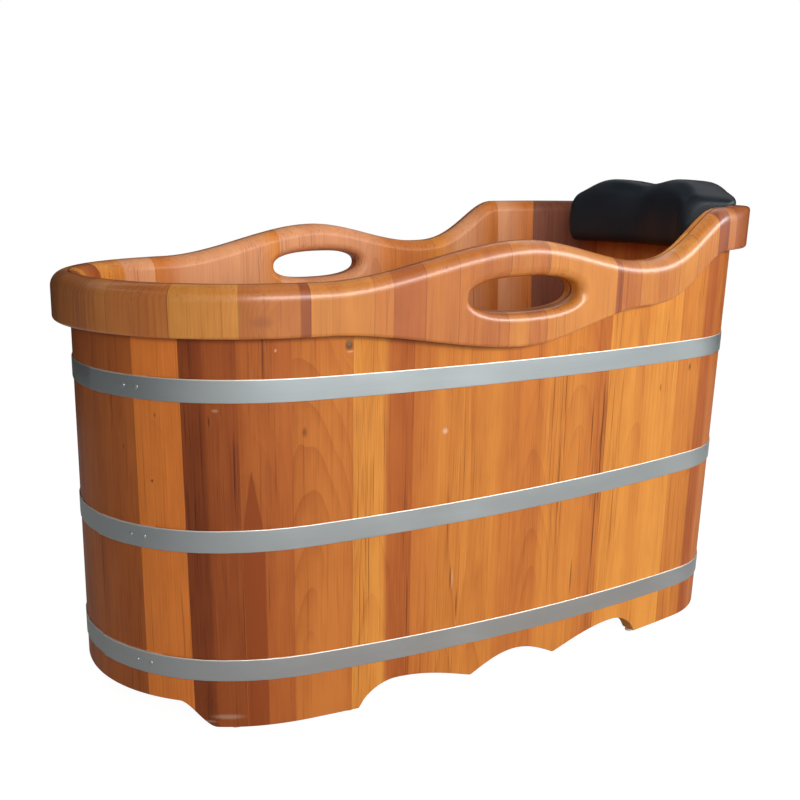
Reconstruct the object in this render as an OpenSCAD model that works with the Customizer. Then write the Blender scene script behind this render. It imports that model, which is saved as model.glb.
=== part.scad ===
// Coopered wooden bathtub: an oval of tapered staves held by three flat hoops,
// with a wavy handrail rim, two hand holes, a high head end and a lift-off headrest.
// The foot end lies at -X, the head end at +X, and the tub stands on Z = 0.

/* [Oval] */
// Length of the oval from its widest place to the foot end, outside the staves
foot_l = 680; // [640:1:760]
// Length of the oval from its widest place to the head end, outside the staves
head_l = 450; // [420:1:520]
// Width of the oval at its widest place, outside the staves
tub_w = 617; // [590:1:680]
// Height above the ground at which the oval is set out
oval_z = 295; // [250:1:340]
// Radius of the bowed long sides
side_r = 2620; // [2000:10:4000]
// Radius of the foot end
foot_end_r = 272; // [255:1:290]
// Radius between the foot end and the long sides
foot_corner_r = 336; // [310:1:360]
// Radius of the flat head end
head_end_r = 857; // [700:1:1200]
// Radius of the corners of the head end
head_corner_r = 179; // [150:1:200]
// Outward lean of the foot end, in degrees
foot_lean = -0.6; // [-1:0.1:2]
// Outward lean of the long sides, in degrees
side_lean = 2.3; // [1:0.1:4]
// Outward lean of the head end, in degrees
head_lean = 3; // [1:0.1:5]

/* [Staves] */
// Thickness of a stave
stave_t = 25; // [22:0.5:30]
// Depth of the groove that holds the floor
groove_d = 6; // [4:0.5:8]
// Gap between the floor and its groove
groove_gap = 0.3; // [0.1:0.1:0.6]
// Gap left at a joint between two pieces of wood
joint_gap = 0.05; // [0:0.05:0.2]

/* [Rim] */
// Height of the rim at the foot end
foot_h = 641; // [600:1:680]
// Height of the rim over the hand holes
hump_h = 689; // [660:1:720]
// Height of the dip between the hand holes and the head end
saddle_h = 650; // [620:1:680]
// Height of the rim at the head end
head_h = 728; // [700:1:800]
// Place along the tub where the rim starts to rise to the hand holes
wave_x = -332; // [-380:1:-280]
// Place along the tub of the middle of the hand holes
hump_x = -22; // [-60:1:20]
// Place along the tub of the dip
saddle_x = 212; // [180:1:240]
// Place along the tub where the rim reaches its full height
head_x = 402; // [380:1:430]
// How slowly the rim starts to climb to the head end
climb_power = 1.45; // [1:0.05:2]
// Thickness of the band outside the staves
band_t = 26.5; // [20:0.5:32]
// Gap between the staves and the band or a hoop round them
band_gap = 0.3; // [0.2:0.05:0.5]
// Height of the band
band_h = 70; // [60:1:80]
// Height of the band at the hand holes
hump_band_h = 153; // [135:1:170]
// Radius of the rounded top of the rim
top_r = 22; // [16:1:24]
// Radius of the rounded top of the rim at the head end
head_top_r = 7; // [4:1:22]
// Length over which the rounded top narrows, from where the rim reaches its full height
narrowing_l = 85; // [40:1:110]
// Radius of the band's lower edge
lip_r = 4; // [2:0.5:6]

/* [Hand holes] */
// Place along the tub of the middle of a hand hole
hole_x = -22; // [-60:1:10]
// Distance of the middle of a hand hole below the top of the rim over it
hole_drop = 77; // [70:1:86]
// Length of a hand hole
hole_l = 193; // [150:1:210]
// Height of a hand hole
hole_h = 51; // [40:1:56]
// Radius of the rounded edges of a hand hole
hole_r = 16; // [12:1:22]
// Squareness of a hand hole, 2 being an ellipse
hole_power = 2.4; // [2:0.1:4]

/* [Skirt] */
// Height of the arches between the feet
arch_h = 40.5; // [36:0.5:50]
// Height of the two points that hang in a side arch
drop_h = 14; // [10:0.5:30]
// Place of the points that hang in a side arch, from its middle
drop_x = 82; // [70:1:95]
// Place of the highest part of a side arch beyond a point, from its middle
notch_x = 212; // [200:1:235]
// Place of the inner edge of a foot, from the middle of the side arch
foot_x = 271; // [250:1:285]
// How steeply a side arch rises from a foot, less being steeper
foot_power = 0.6; // [0.4:0.05:1]
// Half of the length of an end arch, along the oval
end_arch_l = 246; // [220:1:260]
// Length over which an end arch curves down to a foot
end_curve_l = 58; // [40:1:70]

/* [Hoops] */
// Height of a hoop's strip
hoop_h = 32.5; // [28:0.5:38]
// Thickness of a hoop's strip
hoop_t = 1.5; // [1:0.1:2]
// Height of the lower hoop's lower edge
low_hoop_z = 69.5; // [64:0.5:74]
// Height of the middle hoop's lower edge
middle_hoop_z = 275; // [240:1:310]
// Distance of the upper hoop below the band at the hand holes
high_hoop_gap = 24; // [15:0.5:40]
// How much the head end of the lower hoop sits below its foot end
low_hoop_drop = 17; // [0:1:20]
// How much the head end of the middle hoop sits above its foot end
middle_hoop_rise = 14; // [0:1:20]
// How much the head end of the upper hoop sits below its foot end
high_hoop_drop = 5; // [0:1:20]
// Length over which the ends of a hoop lap
lap_l = 120; // [80:1:140]
// Gap between the lapped ends of a hoop
lap_gap = 0.2; // [0.1:0.05:0.4]
// Place of the outer end of a hoop's lap, along the oval from the foot end
lap_s = 45; // [30:1:60]
// Place of the middle of a lap's two rivets, along the oval from the foot end
rivet_s = 134; // [110:1:140]
// Diameter of a rivet's head
rivet_d = 9; // [6:0.5:12]
// Height of a rivet's head
rivet_h = 1.2; // [0.8:0.1:2]
// Diameter of a rivet's shank
shank_d = 5; // [3:0.5:6]
// Distance between the two rivets of a lap
rivet_pitch = 24; // [16:1:30]

/* [Floor] */
// Height of the underside of the floor
floor_z = 79; // [78:0.5:82]
// Thickness of the floor
floor_t = 24; // [20:0.5:26]
// Width of a batten under the floor
batten_w = 60; // [45:1:80]
// Thickness of a batten
batten_t = 22; // [18:1:25]
// Length of a batten beyond its outermost screws
batten_end = 28; // [20:1:40]
// Distance of a batten from the middle of the tub
batten_x = 200; // [150:1:240]
// Diameter of a screw's head
screw_head_d = 9; // [7:0.5:10]
// Height of a screw's head
screw_head_h = 2.5; // [2:0.5:3]
// Diameter of a screw's shank
screw_d = 4.5; // [3:0.5:5]
// Length of a screw
screw_l = 38; // [30:1:42]

/* [Drain] */
// Distance of the drain's middle from the outer face of the foot end
drain_inset = 177.6; // [150:0.1:220]
// Outer diameter of the drain's flange
flange_d = 70; // [64:1:80]
// Thickness of the flange
flange_t = 3; // [2:0.5:4]
// Outer diameter of the drain's tail
tail_d = 40; // [36:0.5:42]
// Outer diameter of the threaded part of the tail
thread_d = 42; // [41:0.5:44]
// Length of thread that shows below the locknut
thread_l = 6; // [3:0.5:8]
// Wall of the tail
tail_wall = 2.5; // [2:0.25:3]
// Height of the tail's lower end above the ground
tail_z = 15; // [8:1:30]
// Gap between the tail and the wood round it
tail_gap = 1; // [0.5:0.1:2]
// Thickness of the gasket
gasket_t = 3; // [2:0.5:4]
// Outer diameter of the gasket
gasket_d = 64; // [58:1:68]
// Width of the locknut across its flats
nut_w = 58; // [52:1:62]
// Height of the locknut
nut_h = 10; // [8:0.5:14]
// Diameter of the plug's stem
stem_d = 8; // [6:0.5:10]
// Gap round the stem in its guide, on each side
stem_gap = 0.05; // [0.03:0.01:0.1]
// Outer diameter of the stem's guide
guide_d = 15; // [13:0.5:18]
// Height of the stem's guide
guide_h = 16; // [12:1:22]
// Thickness of the guide's arms
arm_t = 2.5; // [2:0.25:4]
// Diameter of the plug's cap
plug_d = 54; // [50:0.5:58]
// Thickness of the plug's cap at its edge
plug_t = 3; // [2:0.5:4]
// Height of the plug's domed top above its edge
plug_dome = 4; // [2:0.5:6]
// Thickness of the seal under the plug
seal_t = 2; // [1.5:0.25:3]
// Width of the seal's ring
seal_w = 7; // [5:0.5:8]
// Gap between the closed seal and the flange
seal_gap = 0.1; // [0.05:0.05:0.2]

/* [Headrest] */
// Length of the headrest across the tub
rest_w = 404; // [360:1:420]
// How far the headrest lies from the middle, towards the side with the laps
rest_y = 40; // [-40:1:45]
// Height of the headrest's lower edge
rest_z = 650; // [640:1:670]
// Height of the two crowns above the rim
crown_h = 46; // [40:1:50]
// Height of the dip between the crowns above the rim
dip_h = 37; // [28:1:40]
// Height of the ends above the rim
end_h = 16.5; // [10:0.5:20]
// Distance of a crown from the middle
crown_y = 88; // [70:1:110]
// Thickness of the headrest in front of the wall, at the crowns
rest_t = 62; // [50:1:75]
// How much thinner the hollow for the neck is
neck_d = 9; // [6:1:22]
// How far the headrest reaches back over the rim
rest_lip = 34; // [24:1:40]
// Gap between the headrest and the wood
rest_gap = 0.4; // [0.3:0.1:1]
// Radius of the headrest's rounded edges
rest_r = 24; // [16:1:28]
// Diameter of a suction cup
cup_d = 34; // [28:1:40]
// Thickness of a suction cup
cup_t = 5; // [4:0.5:7]
// Distance of a suction cup from the middle of the headrest
cup_y = 68; // [60:1:110]
// Height of the suction cups
cup_z = 683; // [676:1:690]

/* [Glides] */
// Diameter of a glide
glide_d = 16; // [12:0.5:20]
// Thickness of a glide
glide_t = 3; // [2:0.5:4]

/* [Hidden] */
SIDE_STAVES = 17;
BOARDS = 5;
function two_digits(i) = str(i < 10 ? "0" : "", i);
NEAR_STAVES = [for (i = [1:SIDE_STAVES]) str("stave_near_", two_digits(i))];
FAR_STAVES = [for (i = [1:SIDE_STAVES]) str("stave_far_", two_digits(i))];
FLOOR_BOARDS = [for (i = [1:BOARDS]) str("floor_board_", i)];

// Overrun of every cut past the faces that it opens
cut = 1;
// Joints between staves, as shares of the half oval from foot end to head end
seam_shares = [0.031, 0.092, 0.142, 0.194, 0.242, 0.300, 0.362, 0.418, 0.483,
    0.545, 0.602, 0.658, 0.712, 0.762, 0.816, 0.869, 0.919, 0.969];
// Joints between the four rim pieces, as shares of the half oval
rim_foot_share = 0.145;
rim_head_share = 0.825;
// Places of the glides, as shares of the half oval
glide_shares = [0.181, 0.300, 0.676, 0.800];
// Distance that a chord may lie inside its arc
sagitta = 0.15;
// Steps across a stave, along a rim piece and round an arc
STAVE_STEPS = 8;
RIM_STEP_COUNT = 62;
END_STEP_COUNT = 32;
ARC_STEPS = 3;

half_w = tub_w / 2;
side_centre_y = side_r - half_w;
foot_slope = tan(foot_lean);
side_slope = tan(side_lean);
head_slope = tan(head_lean);
// The tub's middle lies at X = 0, halfway between the outer faces of the rim
foot_reach = foot_l + foot_slope * (foot_h - band_h - oval_z) + band_t;
head_reach = head_l + head_slope * (head_h - head_top_r - oval_z) + band_t;
wide_x = (foot_reach - head_reach) / 2;
drain_x = foot_l - wide_x - drain_inset;
high_hoop_z = hump_h - hump_band_h - high_hoop_gap - hoop_h;

// An arc is [centre x, centre y, radius, first angle, last angle]
function arc_length(a) = abs(a[4] - a[3]) * a[2] * PI / 180;
function on_arc(a, d) =
    let (t = a[3] + sign(a[4] - a[3]) * d / a[2] * 180 / PI)
    [a[0] + a[2] * cos(t), a[1] + a[2] * sin(t), cos(t), sin(t)];

// A quarter of the oval, from the widest place to one end: side arc, corner arc and end arc
function quarter(l, corner_r, end_r) =
    let (end_x = l - end_r,
         d = norm([end_x, side_centre_y]),
         to_end = abs(end_r - corner_r),
         to_side = side_r - corner_r,
         a = (to_end * to_end - to_side * to_side + d * d) / (2 * d),
         h = sqrt(max(0, to_end * to_end - a * a)),
         ux = -end_x / d,
         uy = side_centre_y / d,
         cx = end_x + a * ux + sign(ux) * h * uy,
         cy = a * uy - h * abs(ux),
         side_angle = atan2(cy - side_centre_y, cx),
         end_angle = end_r > corner_r ? atan2(cy, cx - end_x) : atan2(-cy, end_x - cx))
    [[0, side_centre_y, side_r, -90, side_angle],
     [cx, cy, corner_r, side_angle, end_angle],
     [end_x, 0, end_r, end_angle, 0]];
foot_quarter = quarter(foot_l, foot_corner_r, foot_end_r);
head_quarter = quarter(head_l, head_corner_r, head_end_r);
function quarter_length(q) = arc_length(q[0]) + arc_length(q[1]) + arc_length(q[2]);
foot_run = quarter_length(foot_quarter);
half_run = foot_run + quarter_length(head_quarter);
full_run = 2 * half_run;
function on_quarter(q, d) =
    let (first = arc_length(q[0]), second = arc_length(q[1]))
    d < first ? on_arc(q[0], d)
    : d < first + second ? on_arc(q[1], d - first)
    : on_arc(q[2], d - first - second);

// Point and outward direction at a distance along the near half, from foot end to head end
function along(s) =
    s < 0 ? let (p = along(-s)) [p[0], -p[1], p[2], -p[3]]
    : s > half_run ? let (p = along(2 * half_run - s)) [p[0], -p[1], p[2], -p[3]]
    : s < foot_run ? let (p = on_quarter(foot_quarter, foot_run - s)) [wide_x - p[0], p[1], -p[2], p[3]]
    : let (p = on_quarter(head_quarter, s - foot_run)) [wide_x + p[0], p[1], p[2], p[3]];
function lean_at(p) =
    let (share = p[2] * p[2])
    share * (p[2] < 0 ? foot_slope : head_slope) + (1 - share) * side_slope;
// A point on the leaning wall: off is the distance outside the staves' outer face
function wall(s, z, off) =
    let (p = along(s), d = lean_at(p) * (z - oval_z) + off)
    [p[0] + p[2] * d, p[1] + p[3] * d, z];

function ease(t) = t * t * (3 - 2 * t);
function blend(a, b, t) = a + (b - a) * ease(min(1, max(0, t)));
function share_of(x, from, to) = min(1, max(0, (x - from) / (to - from)));

// Height of the rim's top and of the band's lower edge at a place along the tub
function rim_top(x) =
    x < hump_x ? blend(foot_h, hump_h, share_of(x, wave_x, hump_x))
    : x < saddle_x ? blend(hump_h, saddle_h, share_of(x, hump_x, saddle_x))
    : blend(saddle_h, head_h, pow(share_of(x, saddle_x, head_x), climb_power));
function rim_low(x) =
    x < hump_x ? blend(foot_h - band_h, hump_h - hump_band_h, share_of(x, wave_x, hump_x))
    : x < saddle_x ? blend(hump_h - hump_band_h, saddle_h - band_h, share_of(x, hump_x, saddle_x))
    : rim_top(x) - band_h;
function rim_r(x) = blend(top_r, head_top_r, share_of(x, head_x, head_x + narrowing_l));

// Height of the staves' lower ends: end arches, feet, and a side arch with two hanging points
function side_skirt(x) =
    let (d = abs(x))
    d < drop_x ? drop_h + (arch_h - drop_h) * cos(90 * d / drop_x)
    : d < notch_x ? drop_h + (arch_h - drop_h) * sin(90 * (d - drop_x) / (notch_x - drop_x))
    : d < foot_x ? glide_t + (arch_h - glide_t) * pow(sin(90 * (foot_x - d) / (foot_x - notch_x)), foot_power)
    : glide_t;
function end_skirt(d) = blend(arch_h, glide_t, share_of(d, end_arch_l - end_curve_l, end_arch_l));
function skirt(s) =
    let (end_d = min(abs(s), abs(half_run - s)))
    end_d < end_arch_l ? end_skirt(end_d) : side_skirt(along(s)[0]);

// Places round the whole oval at which its chords keep within the sagitta
function arc_places(a, from) =
    let (n = ceil(arc_length(a) / sqrt(8 * a[2] * sagitta)))
    [for (i = [0:n - 1]) from + arc_length(a) * i / n];
function quarter_places(q) = concat(
    arc_places(q[0], 0), arc_places(q[1], arc_length(q[0])), arc_places(q[2], arc_length(q[0]) + arc_length(q[1])));
near_places = concat(
    [for (d = quarter_places(foot_quarter)) foot_run - d],
    [for (d = quarter_places(head_quarter)) foot_run + d]);
all_places = concat(near_places, [for (s = near_places) full_run - s], [0, half_run]);

// A solid through a row of equal rings of points, closed by a face at each end
module loft(rings) {
    n = len(rings[0]);
    last = len(rings) - 1;
    sides = [for (i = [0:last - 1], j = [0:n - 1], k = [0, 1])
        let (a = i * n + j, b = i * n + (j + 1) % n)
        k == 0 ? [a, b, a + n] : [b, b + n, a + n]];
    start_face = [for (j = [n - 1:-1:0]) j];
    end_face = [for (j = [0:n - 1]) last * n + j];
    polyhedron(points = [for (ring = rings) each ring], faces = concat(sides, [start_face, end_face]));
}

// A rounded corner of a section, as [off, z] points
function round_corner(off, z, r, from, to) =
    [for (i = [0:ARC_STEPS]) let (t = from + (to - from) * i / ARC_STEPS) [off + r * cos(t), z + r * sin(t)]];

function stave_section(s) =
    let (top = rim_top(along(s)[0]), low = skirt(s))
    concat(
        [[0, low], [0, top]],
        round_corner(top_r - stave_t, top - top_r, top_r, 90, 180),
        [[-stave_t, floor_z + floor_t + groove_gap], [groove_d - stave_t, floor_z + floor_t + groove_gap],
         [groove_d - stave_t, floor_z - groove_gap], [-stave_t, floor_z - groove_gap], [-stave_t, low]]);

// One stave between two places on the near half of the oval
module stave_between(from, to) {
    step = (to - from - joint_gap) / STAVE_STEPS;
    loft([for (i = [0:STAVE_STEPS])
        let (s = from + joint_gap / 2 + i * step)
        [for (q = stave_section(s)) wall(s, q[1], q[0])]]);
}

function rim_section(s) =
    let (x = along(s)[0], top = rim_top(x), low = rim_low(x), r = rim_r(x))
    concat(
        [[band_gap, low]],
        round_corner(band_t - lip_r, low + lip_r, lip_r, -90, 0),
        round_corner(band_t - r, top - r, r, 0, 90),
        [[band_gap, top]]);

module rim_between(from, to, steps) {
    step = (to - from - joint_gap) / steps;
    loft([for (i = [0:steps])
        let (s = from + joint_gap / 2 + i * step)
        [for (q = rim_section(s)) wall(s, q[1], q[0])]]);
}

// The space of a hand hole, flared at both faces of the wall, as rings of points on the wall
HOLE_POINTS = 32;
FLARE_STEPS = 5;
function power_of(v, p) = sign(v) * pow(abs(v), p);
hole_z = hump_h - hole_drop;
hole_s = foot_run - side_r * asin((wide_x - hole_x) / side_r) * PI / 180;
function flare(a) = hole_r * (1 - sin(a));
function depth(a) = hole_r * (1 - cos(a));
module hand_hole() {
    outside = [for (i = [0:FLARE_STEPS]) let (a = 90 * i / FLARE_STEPS) [band_t - depth(a), flare(a)]];
    inside = [for (i = [FLARE_STEPS:-1:0]) let (a = 90 * i / FLARE_STEPS) [depth(a) - stave_t, flare(a)]];
    profile = concat([[band_t + hole_r, hole_r]], outside, inside, [[-stave_t - hole_r, hole_r]]);
    loft([for (q = profile)
        [for (j = [0:HOLE_POINTS - 1])
            let (t = 360 * j / HOLE_POINTS)
            wall(hole_s + (hole_l / 2 + q[1]) * power_of(cos(t), 2 / hole_power),
                hole_z + (hole_h / 2 + q[1]) * power_of(sin(t), 2 / hole_power),
                q[0])]]);
}
function meets_hole(from, to) =
    let (reach = hole_l / 2 + hole_r)
    to > hole_s - reach && from < hole_s + reach;

module near_stave(i) {
    from = seam_shares[i - 1] * half_run;
    to = seam_shares[i] * half_run;
    if (meets_hole(from, to)) {
        difference() {
            stave_between(from, to);
            hand_hole();
        }
    } else {
        stave_between(from, to);
    }
}

// Staves vary from honey to red brown
STAVE_COLOURS = ["chocolate", "peru", "sienna", "darkgoldenrod", "peru", "chocolate"];
module stave(i, far) {
    color(STAVE_COLOURS[(i * (far ? 5 : 1)) % len(STAVE_COLOURS)])
        mirror([0, far ? 1 : 0, 0]) near_stave(i);
}
module stave_foot() {
    color("sienna") stave_between(-seam_shares[0] * half_run, seam_shares[0] * half_run);
}
module stave_head() {
    last = seam_shares[SIDE_STAVES] * half_run;
    color("peru") stave_between(last, 2 * half_run - last);
}

module rim_foot() {
    to = rim_foot_share * half_run;
    color("sienna") rim_between(-to, to, END_STEP_COUNT);
}
module rim_head() {
    from = rim_head_share * half_run;
    color("chocolate") rim_between(from, 2 * half_run - from, END_STEP_COUNT);
}
module rim_near() {
    color("peru")
        difference() {
            rim_between(rim_foot_share * half_run, rim_head_share * half_run, RIM_STEP_COUNT);
            hand_hole();
        }
}
module rim_far() {
    mirror([0, 1, 0]) rim_near();
}

// A strip bent round the tub, its last stretch lying outside its first
tub_l = foot_l + head_l;
function strip_out(u) =
    band_gap + (hoop_t + lap_gap) * share_of(u, full_run - lap_l, full_run - lap_l / 2);
// Lengths along the strip at which it gets a ring, from its inner end to its outer end
function in_order(v) =
    len(v) < 2 ? v
    : let (pivot = v[floor(len(v) / 2)])
    concat(in_order([for (u = v) if (u < pivot) u]), [pivot], in_order([for (u = v) if (u > pivot) u]));
function round_up(u) = u < 0 ? u + full_run : u > full_run ? u - full_run : u;
strip_start = lap_s + lap_l;
strip_places = in_order(concat(
    [for (s = all_places) let (u = round_up(strip_start - s)) if (u > joint_gap && u < full_run - joint_gap) u],
    [0, full_run - lap_l, full_run - lap_l / 2, full_run, full_run + lap_l / 2, full_run + lap_l]));
// Height of a hoop's lower edge at a place along the oval
function hoop_edge(z, rise, s) = z + rise * along(s)[0] / tub_l;
module hoop(z, rise) {
    color("silver")
        loft([for (u = strip_places)
            let (s = u > full_run ? strip_start + full_run - u : strip_start - u,
                 place = s < -half_run ? s + full_run : s,
                 out = strip_out(u),
                 low = hoop_edge(z, rise, place))
            [wall(place, low, out), wall(place, low + hoop_h, out),
             wall(place, low + hoop_h, out + hoop_t), wall(place, low, out + hoop_t)]]);
}
module hoop_low() {
    hoop(low_hoop_z, -low_hoop_drop);
}
module hoop_middle() {
    hoop(middle_hoop_z, middle_hoop_rise);
}
module hoop_high() {
    hoop(high_hoop_z, -high_hoop_drop);
}

// Stands children on the wall at a place, their Z axis pointing outwards
module on_wall(s, z, off) {
    p = along(s);
    translate(wall(s, z, off))
        rotate([0, 0, atan2(p[3], p[2])]) rotate([0, 90 + atan(lean_at(p)), 0]) children();
}
module rivet_places(z, rise) {
    for (side = [-1, 1]) {
        s = rivet_s + side * rivet_pitch / 2;
        on_wall(s, hoop_edge(z, rise, s) + hoop_h / 2, band_gap) children();
    }
}
// A rivet, its shank upset so that it fills its hole through both layers of the lap
module rivet() {
    head_z = 2 * hoop_t + 2 * lap_gap;
    cylinder(h = head_z, d = shank_d, $fn = 32);
    translate([0, 0, head_z])
        cylinder(h = rivet_h, d1 = rivet_d, d2 = shank_d, $fn = 32);
}
module hoop_rivets() {
    color("gainsboro") {
        rivet_places(low_hoop_z, -low_hoop_drop) rivet();
        rivet_places(middle_hoop_z, middle_hoop_rise) rivet();
        rivet_places(high_hoop_z, -high_hoop_drop) rivet();
    }
}

// The floor, cut from boards that lie along the tub and end in the staves' groove
FLOOR_POINTS = 80;
board_w = (tub_w - 2 * (stave_t - groove_d)) / BOARDS;
module floor_shape(grow) {
    edge = groove_d - stave_t - groove_gap + grow;
    polygon([for (i = [0:FLOOR_POINTS - 1])
        let (q = wall(full_run * i / FLOOR_POINTS, floor_z, edge)) [q[0], q[1]]]);
}
module floor_board(i) {
    middle = (i - (BOARDS + 1) / 2) * board_w;
    w = board_w + (i == 1 || i == BOARDS ? board_w : 0) - joint_gap;
    shift = i == 1 ? -board_w / 2 : i == BOARDS ? board_w / 2 : 0;
    color("burlywood")
        difference() {
            intersection() {
                translate([0, 0, floor_z]) linear_extrude(floor_t) floor_shape(0);
                translate([-tub_l, middle + shift - w / 2, floor_z - cut]) cube([2 * tub_l, w, floor_t + 2 * cut]);
            }
            at_drain(floor_z - cut) cylinder(h = floor_t + 2 * cut, d = thread_d + 2 * tail_gap, $fn = 64);
            screw_places() cylinder(h = screw_l + cut, d = screw_d + 2 * joint_gap, $fn = 24);
        }
}

batten_z = floor_z - batten_t;
// Places of the screws across the tub, one in each board, as shares of a board's width
screw_board_shares = [-1.7, -1, 0, 1, 1.7];
batten_l = 2 * (screw_board_shares[BOARDS - 1] * board_w + batten_end);
module batten(side) {
    color("tan")
        difference() {
            translate([side * batten_x - batten_w / 2, -batten_l / 2, batten_z])
                cube([batten_w, batten_l, batten_t - joint_gap]);
            screw_places() translate([0, 0, -cut])
                cylinder(h = batten_t + 2 * cut, d = screw_d + 2 * joint_gap, $fn = 24);
        }
}
module batten_foot() {
    batten(-1);
}
module batten_head() {
    batten(1);
}

// Screws through the battens into the floor boards
module screw_places() {
    for (side = [-1, 1], y = screw_board_shares)
        translate([side * batten_x, y * board_w, batten_z]) children();
}
module floor_screws() {
    color("dimgray") screw_places() {
        translate([0, 0, -joint_gap]) cylinder(h = screw_l, d = screw_d, $fn = 24);
        translate([0, 0, -joint_gap - screw_head_h])
            cylinder(h = screw_head_h, d1 = screw_d, d2 = screw_head_d, $fn = 24);
    }
}

module at_drain(z) {
    translate([-drain_x, 0, z]) children();
}
floor_top = floor_z + floor_t;
bore_d = tail_d - 2 * tail_wall;
guide_z = floor_z - guide_h / 2;
nut_z = floor_z - 2 * joint_gap - gasket_t - nut_h;
thread_z = nut_z - thread_l;
thread_step = (thread_d - tail_d) / 2;
module drain_body() {
    color("lightgray")
        difference() {
            union() {
                at_drain(floor_top + joint_gap) cylinder(h = flange_t, d = flange_d, $fn = 96);
                at_drain(tail_z) cylinder(h = thread_z + thread_step - tail_z, d = tail_d, $fn = 96);
                at_drain(thread_z) cylinder(h = thread_step, d1 = tail_d, d2 = thread_d, $fn = 96);
                at_drain(thread_z + thread_step)
                    cylinder(h = floor_top + joint_gap - thread_z, d = thread_d, $fn = 96);
            }
            difference() {
                at_drain(tail_z - cut)
                    cylinder(h = floor_top + joint_gap + flange_t - tail_z + 2 * cut, d = bore_d, $fn = 96);
                at_drain(guide_z) {
                    cylinder(h = guide_h, d = guide_d, $fn = 48);
                    for (turn = [0, 90])
                        rotate([0, 0, turn]) translate([-tail_d / 2, -arm_t / 2, 0]) cube([tail_d, arm_t, guide_h]);
                }
            }
            at_drain(guide_z - cut) cylinder(h = guide_h + 2 * cut, d = stem_d + 2 * stem_gap, $fn = 48);
        }
}
module ring(h, outer, inner) {
    difference() {
        cylinder(h = h, d = outer, $fn = 96);
        translate([0, 0, -cut]) cylinder(h = h + 2 * cut, d = inner, $fn = 96);
    }
}
module drain_gasket() {
    color("black") at_drain(floor_z - joint_gap - gasket_t) ring(gasket_t, gasket_d, thread_d + 2 * joint_gap);
}
module drain_nut() {
    color("lightgray") at_drain(nut_z)
        difference() {
            cylinder(h = nut_h, d = nut_w / cos(30), $fn = 6);
            translate([0, 0, -cut]) cylinder(h = nut_h + 2 * cut, d = thread_d + 2 * joint_gap, $fn = 96);
        }
}
seal_z = floor_top + joint_gap + flange_t + seal_gap;
module plug_seal() {
    color("black") at_drain(seal_z) ring(seal_t, plug_d - seal_t, plug_d - seal_t - 2 * seal_w);
}
module drain_plug() {
    cap_z = seal_z + seal_t + joint_gap;
    stem_z = guide_z - stem_d;
    color("silver") {
        at_drain(cap_z) cylinder(h = plug_t, d = plug_d, $fn = 96);
        at_drain(cap_z + plug_t) cylinder(h = plug_dome, d1 = plug_d, d2 = plug_d / 2, $fn = 96);
        at_drain(stem_z) cylinder(h = cap_z - stem_z + plug_t / 2, d = stem_d, $fn = 48);
    }
}

// The headrest's section at a place across the tub, as [distance behind the wall's inner face, z]
REST_STATIONS = 24;
function rest_top(y) =
    let (d = abs(y), half = rest_w / 2)
    head_h + (d < crown_y ? blend(dip_h, crown_h, d / crown_y)
        : blend(crown_h, end_h, pow(share_of(d, crown_y, half), 1.3)));
// How much the section has drawn in towards an end, from 0 to 1
function drawn_in(y) =
    let (t = share_of(abs(y), rest_w / 2 - rest_r, rest_w / 2)) 1 - sqrt(max(0, 1 - t * t));
function rest_front(y) =
    let (d = abs(y))
    rest_t - neck_d * (1 - ease(min(1, d / crown_y))) - rest_r * 0.8 * drawn_in(y);
function arc_points(off, z, rx, rz, from, to, n) =
    [for (i = [0:n]) let (t = from + (to - from) * i / n) [off + rx * cos(t), z + rz * sin(t)]];
function rest_section(y) =
    let (top = rest_top(y) - rest_r * 0.6 * drawn_in(y),
         low = rest_z + rest_r * 0.6 * drawn_in(y),
         front = rest_front(y),
         lip = rest_lip - rest_r * 0.8 * drawn_in(y),
         seat = head_h + rest_gap,
         round_z = min(rest_r, (top - seat) * 0.8))
    concat(
        arc_points(-rest_gap - rest_r * 0.4, low + rest_r * 0.4, rest_r * 0.4, rest_r * 0.4, 0, -90, 3),
        arc_points(rest_r - front, low + rest_r, rest_r, rest_r, -90, -180, 4),
        [[-front - rest_r * 0.12, (low + top) / 2]],
        arc_points(-front + rest_r * 1.2, top - rest_r * 1.4, rest_r * 1.2, rest_r * 1.4, 180, 90, 5),
        arc_points(lip - round_z, top - round_z, round_z, round_z * 0.9, 75, 0, 3),
        [[lip, seat + rest_gap], [lip - rest_gap, seat]],
        arc_points(top_r, head_h - top_r, top_r + rest_gap, top_r + rest_gap, 90, 180, 3));
module headrest_form() {
    loft([for (i = [0:REST_STATIONS])
        let (y = rest_w / 2 * cos(180 * i / REST_STATIONS),
             s = half_run + y - rest_y)
        [for (q = rest_section(y)) wall(s, q[1], q[0] - stave_t)]]);
}
module cup_places() {
    for (side = [-1, 1])
        on_wall(half_run + side * cup_y - rest_y, cup_z, -stave_t - rest_gap) children();
}
module headrest() {
    color("black")
        difference() {
            headrest_form();
            cup_places() translate([0, 0, -cup_t - rest_gap]) cylinder(h = cup_t + rest_gap + cut, d = cup_d + 2 * rest_gap, $fn = 48);
        }
}
module headrest_cups() {
    color("dimgray") cup_places() translate([0, 0, -cup_t]) cylinder(h = cup_t, d1 = cup_d / 2, d2 = cup_d, $fn = 48);
}

module glides() {
    color("whitesmoke")
        for (far = [0, 1])
            mirror([0, far, 0])
                for (share = glide_shares)
                    translate([for (i = [0:2]) i < 2 ? wall(share * half_run, glide_t, -stave_t / 2)[i] : 0])
                        cylinder(h = glide_t - joint_gap, d = glide_d, $fn = 48);
}

stave_foot();
stave_head();
for (i = [1:SIDE_STAVES]) {
    stave(i, false);
    stave(i, true);
}
rim_foot();
rim_near();
rim_far();
rim_head();
hoop_low();
hoop_middle();
hoop_high();
hoop_rivets();
for (i = [1:BOARDS]) floor_board(i);
batten_foot();
batten_head();
floor_screws();
drain_body();
drain_gasket();
drain_nut();
drain_plug();
plug_seal();
headrest();
headrest_cups();
glides();
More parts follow.
